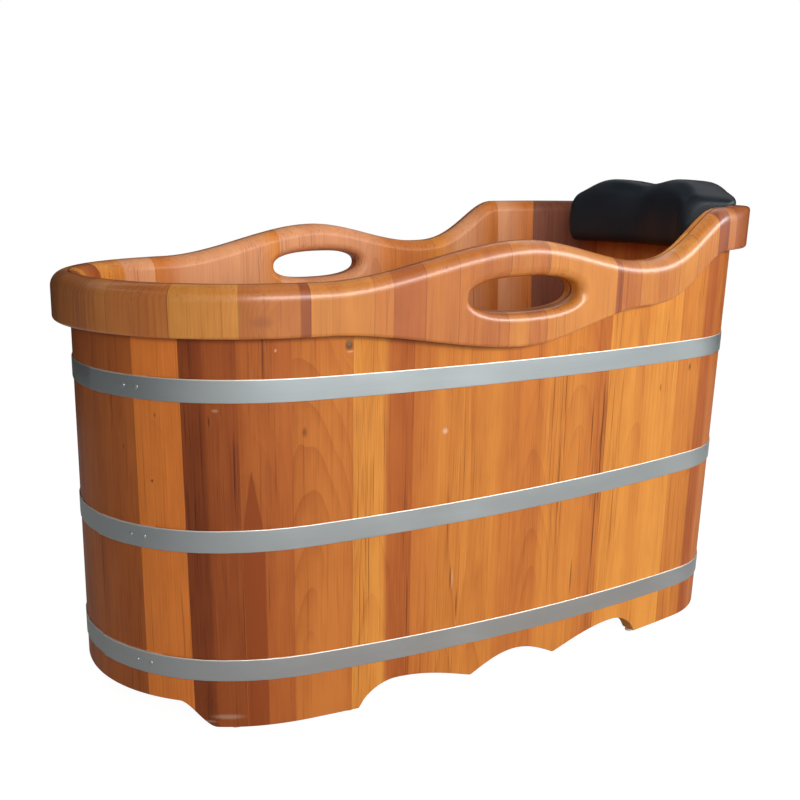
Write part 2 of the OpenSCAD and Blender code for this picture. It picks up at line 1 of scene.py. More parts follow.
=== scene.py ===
import bmesh
import bpy
import math
import random
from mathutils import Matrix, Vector


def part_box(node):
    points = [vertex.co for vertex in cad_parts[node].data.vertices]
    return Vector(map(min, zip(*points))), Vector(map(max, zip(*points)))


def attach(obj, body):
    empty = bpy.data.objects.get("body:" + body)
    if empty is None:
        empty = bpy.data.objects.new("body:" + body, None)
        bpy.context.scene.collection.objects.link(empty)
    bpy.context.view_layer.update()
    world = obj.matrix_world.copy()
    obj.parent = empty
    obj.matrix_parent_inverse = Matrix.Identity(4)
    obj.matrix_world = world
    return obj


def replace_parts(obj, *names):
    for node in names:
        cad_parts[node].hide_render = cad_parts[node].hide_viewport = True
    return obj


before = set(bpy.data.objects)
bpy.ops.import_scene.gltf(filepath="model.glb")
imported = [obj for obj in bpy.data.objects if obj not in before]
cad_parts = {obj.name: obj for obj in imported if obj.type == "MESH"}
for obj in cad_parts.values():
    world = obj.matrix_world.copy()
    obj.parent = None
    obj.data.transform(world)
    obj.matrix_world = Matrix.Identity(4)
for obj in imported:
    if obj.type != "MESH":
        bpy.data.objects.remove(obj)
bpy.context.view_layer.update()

# Camera.
# It stands in front of the foot end's near corner, at a little over the height of the rim,
# and looks slightly down along the tub.

CAMERA_AT = (-1.0013, -1.5190, 0.7758)
LOOKS_DOWN, LOOKS_RIGHT = 0.20714, 0.57102

camera_data = bpy.data.cameras.new("camera")
camera_data.sensor_width = 36.0
camera_data.lens = 47.55
camera_data.clip_end = 50.0
camera = bpy.data.objects.new("camera", camera_data)
bpy.context.scene.collection.objects.link(camera)
camera.location = CAMERA_AT
camera.rotation_euler = (math.pi / 2 - LOOKS_DOWN, 0.0, -LOOKS_RIGHT)
bpy.context.scene.camera = camera
bpy.context.scene.view_settings.view_transform = "Standard"

# Studio.
# A pale floor that runs out to white, two large lamps in front and at the right, a weak one over the
# near rim for the inside and one behind. Bright cards and dark cloths show only in varnish and steel.


class Value:
    """A shader socket that can be calculated with."""

    def __init__(self, finish, socket):
        self.finish, self.socket = finish, socket

    def _sum(self, operation, a, b):
        return self.finish.node("ShaderNodeMath", {"operation": operation}, {0: a, 1: b})

    def __add__(self, other):
        return self._sum("ADD", self, other)

    def __radd__(self, other):
        return self._sum("ADD", other, self)

    def __sub__(self, other):
        return self._sum("SUBTRACT", self, other)

    def __rsub__(self, other):
        return self._sum("SUBTRACT", other, self)

    def __mul__(self, other):
        return self._sum("MULTIPLY", self, other)

    def __rmul__(self, other):
        return self._sum("MULTIPLY", other, self)

    def __pow__(self, other):
        return self._sum("POWER", self, other)

    def __gt__(self, other):
        return self._sum("GREATER_THAN", self, other)


class Finish:
    """A material that is built up node by node."""

    def __init__(self, name):
        self.material = bpy.data.materials.new(name)
        self.material.use_nodes = True
        self.nodes = self.material.node_tree.nodes
        self.links = self.material.node_tree.links
        self.shader = self.nodes["Principled BSDF"]
        self.output = self.nodes["Material Output"]

    def node(self, kind, settings=None, sockets=None, out=0):
        made = self.nodes.new(kind)
        for name, value in (settings or {}).items():
            if name == "stops":
                ramp = made.color_ramp
                while len(ramp.elements) < len(value):
                    ramp.elements.new(1.0)
                for element, (place, colour) in zip(ramp.elements, value):
                    element.position = place
                    element.color = tuple(colour) + (1.0,) if len(colour) == 3 else tuple(colour)
            elif name == "interpolation":
                made.color_ramp.interpolation = value
            else:
                setattr(made, name, value)
        for name, value in (sockets or {}).items():
            self.put(made.inputs[name], value)
        return Value(self, made.outputs[out])

    def put(self, socket, value):
        if isinstance(value, Value):
            self.links.new(value.socket, socket)
        elif isinstance(value, (tuple, list)) and socket.type == "RGBA" and len(value) == 3:
            socket.default_value = tuple(value) + (1.0,)
        else:
            socket.default_value = value

    def set(self, **sockets):
        for name, value in sockets.items():
            self.put(self.shader.inputs[name.replace("_", " ")], value)
        return self


# The white surround lights the tub weakly, but it is seen and reflected at its full strength
surround = bpy.data.worlds.new("surround")
bpy.context.scene.world = surround
surround.use_nodes = True
nodes, links = surround.node_tree.nodes, surround.node_tree.links
rays = nodes.new("ShaderNodeLightPath")
seen = nodes.new("ShaderNodeMath")
seen.operation = "MAXIMUM"
seen_or_passed = nodes.new("ShaderNodeMath")
seen_or_passed.operation = "MAXIMUM"
strength = nodes.new("ShaderNodeMapRange")
strength.inputs["To Min"].default_value = 0.22
strength.inputs["To Max"].default_value = 1.0
links.new(rays.outputs["Is Camera Ray"], seen.inputs[0])
links.new(rays.outputs["Is Glossy Ray"], seen.inputs[1])
links.new(seen.outputs[0], seen_or_passed.inputs[0])
links.new(rays.outputs["Is Transmission Ray"], seen_or_passed.inputs[1])
links.new(seen_or_passed.outputs[0], strength.inputs["Value"])
links.new(strength.outputs["Result"], nodes["Background"].inputs["Strength"])
nodes["Background"].inputs["Color"].default_value = (1.0, 1.0, 1.0, 1.0)


def softbox(name, place, target, size, power):
    """A lamp with a flat white front, aimed at the target, that no reflection shows."""
    data = bpy.data.lights.new(name, "AREA")
    data.shape = "RECTANGLE"
    data.size, data.size_y = size
    data.energy = power
    lamp = bpy.data.objects.new(name, data)
    bpy.context.scene.collection.objects.link(lamp)
    lamp.location = place
    lamp.rotation_euler = (Vector(target) - Vector(place)).to_track_quat("-Z", "Y").to_euler()
    lamp.visible_glossy = lamp.visible_camera = False


softbox("lamp_side", (1.9, -2.5, 1.0), (0.1, 0.0, 0.45), (2.4, 1.2), 45.0)
softbox("lamp_front", (-0.7, -3.0, 1.0), (-0.2, 0.0, 0.45), (2.4, 1.2), 45.0)
softbox("lamp_inside", (0.02, -0.20, 1.0), (0.02, 0.35, 0.42), (1.0, 0.25), 3.2)
softbox("lamp_behind", (0.2, 2.4, 2.0), (0.0, 0.0, 0.5), (2.0, 1.0), 6.0)

GLOW_COLOUR = (0.86, 0.97, 1.0)


def flag(name, place, turn, size, tone=0.03, glow=0.0):
    """A dark cloth or a bright card that is seen only in reflections."""
    bpy.ops.object.select_all(action="DESELECT")
    bpy.ops.mesh.primitive_plane_add(size=1.0, location=place, rotation=turn)
    cloth = bpy.context.active_object
    cloth.name = name
    cloth.scale = (size[0], size[1], 1.0)
    weave = Finish(name + "_cloth")
    weave.set(Base_Color=(tone, tone, tone), Roughness=1.0,
              Emission_Color=GLOW_COLOUR, Emission_Strength=glow)
    cloth.data.materials.append(weave.material)
    cloth.visible_camera = cloth.visible_diffuse = cloth.visible_shadow = False


def card(name, place, target, size, glow):
    """A bright card that faces the target."""
    flag(name, place, (Vector(target) - Vector(place)).to_track_quat("-Z", "Y").to_euler(), size, 0.0, glow)


card("card_side", (1.9, -2.5, 1.65), (0.1, 0.0, 0.55), (2.6, 0.8), 12.0)
card("card_front", (-0.5, -3.0, 1.75), (-0.2, 0.0, 0.55), (2.6, 0.8), 12.0)
flag("flag_left", (-2.6, 1.1, 1.0), (0.0, math.pi / 2, 0.0), (3.0, 4.2), 0.30)
flag("flag_right", (2.7, 0.9, 1.0), (0.0, math.pi / 2, 0.0), (3.0, 2.8))
flag("flag_back", (0.8, 3.2, 1.4), (math.pi / 2, 0.0, 0.0), (7.0, 3.2))
flag("flag_top", (-0.6, 0.6, 3.2), (0.0, 0.0, 0.0), (4.4, 4.5))
flag("flag_low", (-1.0, 2.6, 0.01), (0.0, 0.0, 0.0), (4.6, 1.4))

bpy.ops.object.select_all(action="DESELECT")
bpy.ops.mesh.primitive_plane_add(size=14.0, location=(0.0, 0.0, 0.0))
floor = bpy.context.active_object
floor.name = "studio_floor"
pale = Finish("studio_white")
shade = pale.node("ShaderNodeBsdfDiffuse", None, {"Color": (0.70, 0.70, 0.70)})
glow = pale.node("ShaderNodeEmission", None, {"Color": (1.0, 1.0, 1.0), "Strength": 1.33})
to_eye = pale.node("ShaderNodeLightPath", None, None, "Is Camera Ray") * 0.72
pale.links.new(pale.node("ShaderNodeMixShader", None, {"Fac": to_eye, 1: shade, 2: glow}).socket,
               pale.output.inputs["Surface"])
floor.data.materials.append(pale.material)

# Staves.
# 36 upright boards of varnished softwood, 25 mm thick, planed to a slight taper so that they close
# into an oval, grooved inside for the floor and sawn below into four feet with arches between.

STAVE_T = 0.025
HALF_W = 0.3085
OVAL_Z = 0.295
SIDE_R = 2.620
FOOT_L, FOOT_CORNER_R, FOOT_END_R = 0.680, 0.336, 0.272
HEAD_L, HEAD_CORNER_R, HEAD_END_R = 0.450, 0.179, 0.857
FOOT_SLOPE, SIDE_SLOPE, HEAD_SLOPE = (math.tan(math.radians(d)) for d in (-0.6, 2.3, 3.0))
FOOT_H, HUMP_H, SADDLE_H, HEAD_H = 0.641, 0.689, 0.650, 0.728
RISE_X, HUMP_X, SADDLE_X = -0.332, -0.022, 0.212
RISE_L, FALL_L, CLIMB_L, CLIMB_POWER = 0.310, 0.234, 0.190, 1.45
BAND_T, BAND_H, BAND_GAP = 0.0265, 0.070, 0.0003
HUMP_LOW = 0.536
TOP_R, HEAD_TOP_R = 0.022, 0.007
SEAM = 0.00005
FLOOR_Z, FLOOR_T, GROOVE_D, GROOVE_GAP = 0.079, 0.024, 0.006, 0.0003
GLIDE_T = 0.003
ARCH_H, DROP_H, ARCH_EDGE_R = 0.0405, 0.014, 0.0016
END_ARCH, END_FOOT, END_RISE = 0.188, 0.246, 0.058
DROP_X, NOTCH_X, FOOT_X, FOOT_POWER = 0.082, 0.212, 0.271, 0.6

SIDE_Y = SIDE_R - HALF_W


def quarter(length, corner_r, end_r):
    """Three tangent arcs from the tub's widest place to the middle of one end: side, corner, end."""
    end_x = length - end_r
    d = math.hypot(end_x, SIDE_Y)
    to_end, to_side = abs(end_r - corner_r), SIDE_R - corner_r
    a = (to_end ** 2 - to_side ** 2 + d ** 2) / (2 * d)
    h = math.sqrt(max(0.0, to_end ** 2 - a ** 2))
    ux, uy = -end_x / d, SIDE_Y / d
    cx = end_x + a * ux + math.copysign(h * uy, ux)
    cy = a * uy - h * abs(ux)
    side_angle = math.atan2(cy - SIDE_Y, cx)
    end_angle = math.atan2(cy, cx - end_x) if end_r > corner_r else math.atan2(-cy, end_x - cx)
    return [(0.0, SIDE_Y, SIDE_R, -math.pi / 2, side_angle),
            (cx, cy, corner_r, side_angle, end_angle),
            (end_x, 0.0, end_r, end_angle, 0.0)]


FOOT_QUARTER = quarter(FOOT_L, FOOT_CORNER_R, FOOT_END_R)
HEAD_QUARTER = quarter(HEAD_L, HEAD_CORNER_R, HEAD_END_R)
FOOT_RUN = sum(abs(a[4] - a[3]) * a[2] for a in FOOT_QUARTER)
HALF_RUN = FOOT_RUN + sum(abs(a[4] - a[3]) * a[2] for a in HEAD_QUARTER)
WIDE_X = (FOOT_L + FOOT_SLOPE * (FOOT_H - BAND_H - OVAL_Z)
          - HEAD_L - HEAD_SLOPE * (HEAD_H - HEAD_TOP_R - OVAL_Z)) / 2


def on_quarter(arcs, d):
    """Point and outward direction d metres along the arcs."""
    for x, y, r, first, last in arcs:
        run = abs(last - first) * r
        if d <= run or (x, y, r, first, last) == arcs[-1]:
            t = first + math.copysign(d / r, last - first)
            return x + r * math.cos(t), y + r * math.sin(t), math.cos(t), math.sin(t)
        d -= run


def along(s):
    """Point and outward direction on the staves' outer face, s metres from the foot end's middle.
    The near side has s from 0 to HALF_RUN, the far side from 0 to -HALF_RUN."""
    if s < 0:
        x, y, nx, ny = along(-s)
        return x, -y, nx, -ny
    if s > HALF_RUN:
        x, y, nx, ny = along(2 * HALF_RUN - s)
        return x, -y, nx, -ny
    if s < FOOT_RUN:
        x, y, nx, ny = on_quarter(FOOT_QUARTER, FOOT_RUN - s)
        return WIDE_X - x, y, -nx, ny
    x, y, nx, ny = on_quarter(HEAD_QUARTER, s - FOOT_RUN)
    return WIDE_X + x, y, nx, ny


def wall(s, z, off):
    """Where a point of the flat work lies on the leaning wall of the tub."""
    x, y, nx, ny = along(s)
    share = nx * nx
    slope = share * (FOOT_SLOPE if nx < 0 else HEAD_SLOPE) + (1 - share) * SIDE_SLOPE
    d = slope * (z - OVAL_Z) + off
    return Vector((x + nx * d, y + ny * d, z))


def blend(a, b, t):
    """From a to b, with a soft start and a soft end, as t goes from 0 to 1."""
    t = min(1.0, max(0.0, t))
    return a + (b - a) * t * t * (3 - 2 * t)


def rim_top(x):
    """Height of the rim's crest, which rises over the hand holes, dips and climbs to the head end."""
    if x < HUMP_X:
        return blend(FOOT_H, HUMP_H, (x - RISE_X) / RISE_L)
    if x < SADDLE_X:
        return blend(HUMP_H, SADDLE_H, (x - HUMP_X) / FALL_L)
    return blend(SADDLE_H, HEAD_H, min(1.0, max(0.0, (x - SADDLE_X) / CLIMB_L)) ** CLIMB_POWER)


def rim_low(x):
    """Height of the band's lower edge, which drops below the hand holes."""
    if x < HUMP_X:
        return blend(FOOT_H - BAND_H, HUMP_LOW, (x - RISE_X) / RISE_L)
    if x < SADDLE_X:
        return blend(HUMP_LOW, SADDLE_H - BAND_H, (x - HUMP_X) / FALL_L)
    return rim_top(x) - BAND_H


def skirt(s):
    """Height of the staves' sawn lower ends."""
    end_d = min(abs(s), abs(HALF_RUN - abs(s)))
    if end_d < END_FOOT:
        return blend(ARCH_H, GLIDE_T, (end_d - END_ARCH) / END_RISE)
    d = abs(along(s)[0])
    if d < DROP_X:
        return DROP_H + (ARCH_H - DROP_H) * math.cos(math.pi / 2 * d / DROP_X)
    if d < NOTCH_X:
        return DROP_H + (ARCH_H - DROP_H) * math.sin(math.pi / 2 * (d - DROP_X) / (NOTCH_X - DROP_X))
    if d < FOOT_X:
        climb = math.sin(math.pi / 2 * (FOOT_X - d) / (FOOT_X - NOTCH_X)) ** FOOT_POWER
        return GLIDE_T + (ARCH_H - GLIDE_T) * climb
    return GLIDE_T


def select_faces(obj, test):
    """In edit mode, selects the faces whose middle and normal pass the test."""
    bpy.ops.mesh.select_mode(type="FACE")
    bpy.ops.mesh.select_all(action="DESELECT")
    mesh = bmesh.from_edit_mesh(obj.data)
    for face in mesh.faces:
        face.select_set(test(face.calc_center_median(), face.normal))
    mesh.select_flush(True)
    bmesh.update_edit_mesh(obj.data)


def select_edges(obj, test):
    """In edit mode, selects the edges whose two ends pass the test."""
    bpy.ops.mesh.select_mode(type="EDGE")
    bpy.ops.mesh.select_all(action="DESELECT")
    mesh = bmesh.from_edit_mesh(obj.data)
    for edge in mesh.edges:
        edge.select_set(test(edge.verts[0].co, edge.verts[1].co))
    bmesh.update_edit_mesh(obj.data)


def lengthwise(a, b):
    """Whether an edge of a flat board runs along the oval."""
    return abs(a.x - b.x) > 1e-5


def round_over(radius, segments):
    """Rounds the selected edges."""
    bpy.ops.mesh.bevel(offset_type="OFFSET", offset=radius, segments=segments, profile=0.5, affect="EDGES",
                       clamp_overlap=False)


def pick(piece):
    """Makes the piece the only selected one and the active one."""
    bpy.ops.object.select_all(action="DESELECT")
    piece.select_set(True)
    bpy.context.view_layer.objects.active = piece


def dress(piece, finish):
    """Gives the whole piece one material."""
    piece.data.materials.clear()
    piece.data.materials.append(finish)


def flat_board(name, s_from, s_to, off_from, off_to, cuts):
    """A board lying flat before it goes round the tub: X along the oval, Y outwards, Z up from 0 to 1."""
    bpy.ops.object.select_all(action="DESELECT")
    bpy.ops.mesh.primitive_cube_add(
        size=1.0, location=((s_from + s_to) / 2, (off_from + off_to) / 2, 0.5),
        scale=(s_to - s_from, off_to - off_from, 1.0))
    board = bpy.context.active_object
    board.name = name
    bpy.ops.object.transform_apply(location=True, rotation=True, scale=True)
    bpy.ops.object.mode_set(mode="EDIT")
    select_edges(board, lengthwise)
    bpy.ops.mesh.subdivide(number_cuts=cuts)
    bpy.ops.object.mode_set(mode="OBJECT")
    return board


def put_round_tub(board):
    """Keeps each point's flat place for the grain, then lays the board round the oval."""
    middle = sum(v.co.x for v in board.data.vertices) / len(board.data.vertices)
    grain = board.data.attributes.new("board", "FLOAT_VECTOR", "POINT")
    for v in board.data.vertices:
        grain.data[v.index].vector = (v.co.x - middle, v.co.y, v.co.z)
    # The height of the band's lower edge over each point, for the painted shade under the band
    lip = board.data.attributes.new("lip", "FLOAT", "POINT")
    for v in board.data.vertices:
        lip.data[v.index].value = rim_low(along(v.co.x)[0])
        v.co = wall(v.co.x, v.co.z, v.co.y)


def soften(board, angle=32.0):
    """Smooth shading that keeps flat faces flat and corners crisp."""
    pick(board)
    bpy.ops.object.shade_smooth_by_angle(angle=math.radians(angle))
    weighted = board.modifiers.new("weighted", "WEIGHTED_NORMAL")
    weighted.keep_sharp = True
    bpy.ops.object.modifier_apply(modifier=weighted.name)


# Tones of the varnished boards: the pale and the deep wood of each
GOLD = ((0.74, 0.305, 0.056), (0.52, 0.165, 0.030))
HONEY = ((0.66, 0.245, 0.046), (0.44, 0.125, 0.025))
AMBER = ((0.58, 0.190, 0.039), (0.37, 0.095, 0.021))
ORANGE = ((0.49, 0.138, 0.031), (0.30, 0.068, 0.017))
COPPER = ((0.38, 0.096, 0.024), (0.21, 0.044, 0.013))
RUSSET = ((0.27, 0.062, 0.017), (0.13, 0.027, 0.009))
SORREL = ((0.84, 0.250, 0.046), (0.58, 0.150, 0.027))
PLUM = ((0.22, 0.078, 0.046), (0.10, 0.032, 0.021))
BLUSH = ((0.68, 0.315, 0.145), (0.50, 0.190, 0.085))
DARK_VEIN_AND_SHADE = (0.085, 0.022, 0.010)


def wood(name, seed, tones, split=0.0, soft=0.03, figure=0.5, streaks=0.4, lean=None, heart=None,
         marks=(), flames=(), blocks=(), length=1.0, coat=0.10, coat_roughness=0.25):
    """Varnished wood whose grain runs up the board, with one tone at its left and one at its right.
    A mark is (x, z, half width, half height, colour, strength), a flame (x, foot, tip, half width),
    a block (place along the board, tone), for bands that are glued up from short pieces."""
    rng = random.Random(seed)
    made = Finish(name)
    place = made.node("ShaderNodeAttribute", {"attribute_name": "board"}, None, "Vector")
    x = made.node("ShaderNodeSeparateXYZ", None, {0: place})
    z = Value(made, x.socket.node.outputs[2])
    y = Value(made, x.socket.node.outputs[1])
    shift = tuple(rng.uniform(-40, 40) for _ in range(3))

    def step(value, low, high, to_low=0.0, to_high=1.0):
        return made.node("ShaderNodeMapRange", {"interpolation_type": "SMOOTHSTEP"}, {
            "Value": value, "From Min": low, "From Max": high, "To Min": to_low, "To Max": to_high})

    def mixed(factor, one, two):
        return made.node("ShaderNodeMix", {"data_type": "RGBA"}, {0: factor, 6: one, 7: two}, 2)

    def stepped(at, stops):
        return made.node("ShaderNodeValToRGB", {"stops": stops, "interpolation": "CONSTANT"}, {"Fac": at})

    jump = 0.0
    if blocks:
        # Each block of a glued-up band has its own wood, with a fine dark line where two meet
        share = x * (1 / length) + 0.5
        numbers = [(at, (rng.random(),) * 3) for at, _ in blocks]
        number, next_number = (stepped(at, numbers) for at in (share, share + 0.0012 / length))
        jump = number * 3.0
        seam = made.node("ShaderNodeMath", {"operation": "ABSOLUTE"}, {0: number - next_number}) > 0.0005
        pale, deep = (stepped(share, [(at, tone[k]) for at, tone in blocks]) for k in (0, 1))

    def noise(sx, sz, detail=2.0, rough=0.5):
        spread = made.node("ShaderNodeCombineXYZ", None, {
            "X": x * sx + jump + shift[0], "Y": y * sx + jump + shift[1], "Z": z * sz + jump + shift[2]})
        return made.node("ShaderNodeTexNoise", None,
                         {"Vector": spread, "Scale": 1.0, "Detail": detail, "Roughness": rough}, "Fac")

    wander = noise(8, 1.6) - 0.5
    if not blocks:
        across = step(x + wander * 0.014, split - soft / 2, split + soft / 2)
        pale, deep = (mixed(across, tones[0][k], tones[1][k]) for k in (0, 1))

    # The heart of the log lies behind the board and leans, so that the face cuts its rings into flames
    heart_x, heart_y = heart or (rng.uniform(-0.03, 0.03), rng.uniform(0.02, 0.06))
    lean = lean if lean is not None else rng.choice((-1, 1)) * rng.uniform(0.03, 0.09)
    dx = x - heart_x + wander * 0.05
    dy = y + heart_y + z * lean + (noise(3, 1.3, 1.0) - 0.5) * 0.07
    # The rings bend round a knot
    for mark_x, mark_z, wide, high, _, _ in marks:
        if wide > 0.004 and high < 0.02:
            kx, kz = x - mark_x, (z - mark_z) * (0.45 * wide / high)
            pull = made.node("ShaderNodeMath", {"operation": "EXPONENT"},
                             {0: (kx * kx + kz * kz) * (-0.30 / wide ** 2)})
            dx = dx + pull * wide * 1.6
    radius = made.node("ShaderNodeMath", {"operation": "SQRT"}, {0: dx * dx + dy * dy})
    ring = made.node("ShaderNodeMath", {"operation": "FRACT"},
                     {0: radius * (1 / rng.uniform(0.007, 0.011)) + wander * 2.5 + jump * 5.0})
    # Pale early wood darkens to a thin late ring, here strong, there faint
    late = ring ** 2.4 * step(noise(16, 2.2), 0.36, 0.62, 0.15, 1.0)
    zones = step(noise(34, 0.9, 2.5), 0.34, 0.66)
    cloud = noise(11, 3.0, 3.0) - 0.5
    fibre = noise(700, 9, 3.0, 0.6) - 0.5
    thin = step(noise(300, 4.2, 2.5, 0.55), 0.57, 0.70)
    cluster = step(noise(24, 1.4, 2.0), 0.44, 0.62)
    hair = step(noise(1100, 11, 1.0), 0.56, 0.70)
    mottle = noise(45, 15, 2.0) - 0.5

    calm = 0.5 if blocks else 1.0
    depth = (zones * 0.26 + late * (0.62 * figure) + thin * (0.32 * calm) + fibre * (0.90 * calm)
             + cloud * (0.75 / calm ** 0.5) + mottle * (0.55 / calm ** 0.5) + 0.16)
    if blocks:
        depth = depth + (number - 0.5) * 0.35
    for flame_x, foot, tip, wide in flames:
        rise = made.node("ShaderNodeClamp", None, {"Value": (tip - z) * (1 / (tip - foot))})
        side = made.node("ShaderNodeMath", {"operation": "ABSOLUTE"}, {0: x - flame_x + wander * 0.006})
        depth = depth + step(side - rise * wide, -0.0022, 0.0012, 0.85, 0.0) * step(rise, 0.0, 0.12)
    colour = mixed(made.node("ShaderNodeClamp", None, {"Value": depth}), pale, deep)
    vein = thin * cluster * (0.95 * streaks) + hair * cluster * (0.7 * streaks)
    colour = mixed(made.node("ShaderNodeClamp", None, {"Value": vein, "Max": 0.8}), colour, DARK_VEIN_AND_SHADE)
    if blocks:
        colour = mixed(seam * 0.35, colour, DARK_VEIN_AND_SHADE)
    for mark_x, mark_z, wide, high, tint, strength in marks:
        kx = (x - mark_x + fibre * wide * 0.5) * (1 / wide)
        kz = (z - mark_z + fibre * high * 0.6) * (1 / high)
        colour = mixed(step((kx * kx + kz * kz) ** 0.5, 0.2, 1.1, strength, 0.0), colour, tint)
    if not blocks:
        # Painted shade, with some grime, in the corner under the band: a dark line just below the band's
        # lower edge
        lip = made.node("ShaderNodeAttribute", {"attribute_name": "lip"}, None, "Fac")
        corner = step(lip - z + fibre * 0.004, 0.0, 0.011, 0.75, 0.0) * step(y, -0.004, -0.001)
        colour = mixed(corner, colour, DARK_VEIN_AND_SHADE)
    relief = made.node("ShaderNodeBump", None, {
        "Strength": 0.10, "Distance": 0.0005, "Height": fibre * 0.7 + thin * 0.4}, "Normal")
    made.set(Base_Color=colour, Roughness=0.40 + fibre * 0.18, Specular_IOR_Level=0.10, Coat_Weight=coat,
             Coat_Roughness=coat_roughness, Normal=relief)
    return made.material


STAVE_SHARES = (0.031, 0.092, 0.142, 0.194, 0.242, 0.300, 0.362, 0.418, 0.483,
                0.545, 0.602, 0.658, 0.712, 0.762, 0.816, 0.869, 0.919, 0.969)
HOLE_S = FOOT_RUN - SIDE_R * math.asin((WIDE_X - HUMP_X) / SIDE_R)
HOLE_Z, HOLE_L, HOLE_H, HOLE_R, HOLE_POWER = HUMP_H - 0.077, 0.193, 0.051, 0.016, 2.4


def hand_hole_cutter(side):
    """The space of a hand hole in the flat work, flared at both faces of the wall."""
    bpy.ops.object.select_all(action="DESELECT")
    bpy.ops.mesh.primitive_cylinder_add(
        vertices=128, radius=1.0, depth=1.0, end_fill_type="NGON", rotation=(math.pi / 2, 0.0, 0.0))
    cutter = bpy.context.active_object
    bpy.ops.object.transform_apply(location=True, rotation=True, scale=True)
    # How far out each ring of the cutter lies and how much wider it is there than the hole
    steps = 13
    beyond, wider = 0.03, 0.004
    stations = [(BAND_T + beyond, HOLE_R + wider)]
    for i in range(steps + 1):
        a = math.pi / 2 * i / steps
        stations.append((BAND_T - HOLE_R * (1 - math.cos(a)), HOLE_R * (1 - math.sin(a))))
    for i in range(steps, -1, -1):
        a = math.pi / 2 * i / steps
        stations.append((HOLE_R * (1 - math.cos(a)) - STAVE_T, HOLE_R * (1 - math.sin(a))))
    stations.append((-STAVE_T - beyond, HOLE_R + wider))
    bpy.ops.object.mode_set(mode="EDIT")
    select_edges(cutter, lambda a, b: abs(a.y - b.y) > 0.5)
    bpy.ops.mesh.subdivide(number_cuts=len(stations) - 2)
    bpy.ops.object.mode_set(mode="OBJECT")
    for v in cutter.data.vertices:
        off, grow = stations[round((0.5 - v.co.y) * (len(stations) - 1))]
        length = math.hypot(v.co.x, v.co.z)
        c, n = v.co.x / length, v.co.z / length
        v.co = (side * HOLE_S + (HOLE_L / 2 + grow) * math.copysign(abs(c) ** (2 / HOLE_POWER), c),
                off,
                HOLE_Z + (HOLE_H / 2 + grow) * math.copysign(abs(n) ** (2 / HOLE_POWER), n))
    return cutter


def cut_hand_hole(board, side):
    """Cuts the near side's hand hole, where side is 1, or the far side's out of a board."""
    cutter = hand_hole_cutter(side)
    cut = board.modifiers.new("hand_hole", "BOOLEAN")
    cut.operation = "DIFFERENCE"
    cut.solver = "EXACT"
    cut.object = cutter
    pick(board)
    bpy.ops.object.modifier_apply(modifier=cut.name)
    bpy.data.objects.remove(cutter)


def stave(name, s_from, s_to, material):
    """A board from s_from to s_to round the oval, grooved, rounded at its top and sawn at its lower end."""
    board = flat_board(name, s_from + SEAM, s_to - SEAM, -STAVE_T, 0.0, 23)
    low_cut, high_cut = 0.1, 0.2
    bpy.ops.object.mode_set(mode="EDIT")
    for height in (low_cut, high_cut):
        bpy.ops.mesh.select_all(action="SELECT")
        bpy.ops.mesh.bisect(plane_co=(0.0, 0.0, height), plane_no=(0.0, 0.0, 1.0))
    select_faces(board, lambda p, n: n.y < -0.9 and low_cut < p.z < high_cut)
    bpy.ops.mesh.extrude_region_move(TRANSFORM_OT_translate={"value": (0.0, GROOVE_D, 0.0)})
    bpy.ops.object.mode_set(mode="OBJECT")
    # Its levels 0, 0.1, 0.2 and 1 become the lower end, the groove's two edges and the top
    for v in board.data.vertices:
        v.co.z = (skirt(v.co.x) if v.co.z < 0.05
                  else FLOOR_Z - GROOVE_GAP if v.co.z < 0.15
                  else FLOOR_Z + FLOOR_T + GROOVE_GAP if v.co.z < 0.5
                  else rim_top(along(v.co.x)[0]))
    bpy.ops.object.mode_set(mode="EDIT")
    select_edges(board, lambda a, b: lengthwise(a, b) and max(a.y, b.y) < -0.02 and min(a.z, b.z) > 0.5)
    round_over(TOP_R, 9)
    select_edges(board, lambda a, b: lengthwise(a, b) and min(a.y, b.y) > -0.001 and max(a.z, b.z) < 0.06)
    round_over(ARCH_EDGE_R, 3)
    bpy.ops.object.mode_set(mode="OBJECT")
    reach = HOLE_L / 2 + HOLE_R + 0.001
    for side in (1, -1):
        if s_to > side * HOLE_S - reach and s_from < side * HOLE_S + reach:
            cut_hand_hole(board, side)
    put_round_tub(board)
    soften(board)
    dress(board, material)
    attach(board, "tub")
    return board
